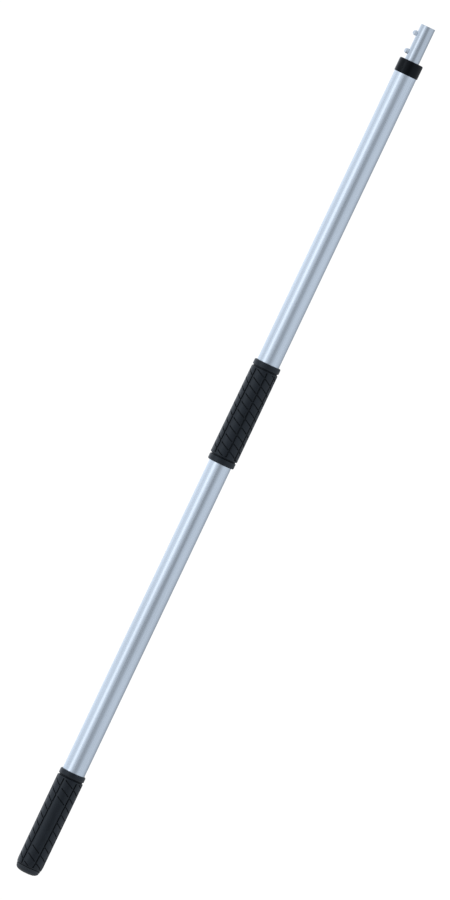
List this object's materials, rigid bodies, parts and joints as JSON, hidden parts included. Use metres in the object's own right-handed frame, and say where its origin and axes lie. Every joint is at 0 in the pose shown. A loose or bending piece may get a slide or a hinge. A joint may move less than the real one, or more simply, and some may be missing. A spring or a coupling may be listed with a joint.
{
  "type": "telescopic extension pole",
  "caption": "Closed telescopic roller extension pole: round aluminium tubes, grooved rubber grips, a black collar and a quick-connect tip with sprung buttons; a twist locks its length.",
  "frame": {"origin": "centre of the butt cap's flat end, the lowest point of the pole", "axes": "+Z along the pole's axis from the butt to the tip, -X the side that the snap buttons point to, -Y the front, which carries the plain panel of the bottom grip"},
  "size_m": [0.0295, 0.0295, 0.9871],
  "materials": {
    "anodised_aluminium": "satin clear anodised, with a cool blue-grey cast",
    "black_rubber": "matte charcoal-black moulded rubber",
    "black_plastic": "semi-gloss black moulded plastic",
    "white_acetal": "plain moulded acetal",
    "grey_nylon": "plain moulded nylon",
    "zinc_steel": "zinc-plated steel",
    "spring_steel": "blued spring steel strip",
    "stainless_steel": "polished stainless steel"
  },
  "bodies": {
    "outer_section": {"outer_tube": "anodised_aluminium", "bottom_grip": "black_rubber", "mid_grip": "black_rubber", "butt_cap": "black_rubber", "top_collar": "black_plastic", "collar_rivet_front": "black_plastic", "collar_rivet_back": "black_plastic", "guide_bush": "white_acetal"},
    "lock_sleeve": {"expansion_sleeve": "white_acetal", "drag_ring": "black_rubber"},
    "lock_wedge": {"wedge_nut": "grey_nylon"},
    "inner_section": {"inner_tube": "anodised_aluminium", "lock_plug": "grey_nylon", "plug_pin": "zinc_steel", "lock_stud": "zinc_steel", "stop_washer": "zinc_steel", "stop_nut": "zinc_steel", "snap_spring": "spring_steel"},
    "snap_buttons": {"button_upper": "stainless_steel", "button_lower": "stainless_steel"}
  },
  "joints": [
    {"name": "extension_slide", "type": "slide", "parent": "outer_section", "child": "lock_sleeve", "axis": [0, 0, 1], "range_m": [0, 0.842]},
    {"name": "twist_lock", "type": "hinge", "parent": "lock_sleeve", "child": "inner_section", "pos_m": [0, 0, 0.06], "axis": [0, 0, -1], "range_deg": [0, 270]},
    {"name": "wedge_travel", "type": "slide", "parent": "lock_sleeve", "child": "lock_wedge", "axis": [0, 0, 1], "range_m": [0, 0.0018]},
    {"name": "button_press", "type": "hinge", "parent": "inner_section", "child": "snap_buttons", "pos_m": [-0.0049, 0, 0.875], "axis": [0, 1, 0], "range_deg": [0, 3], "stiffness_Nm_per_rad": 12, "springref_deg": -1.72, "deforming": ["snap_spring"]}
  ],
  "couplings": [
    {"joint": "wedge_travel", "follows": "twist_lock", "m_per_rad": 0.00038197}
  ]
}
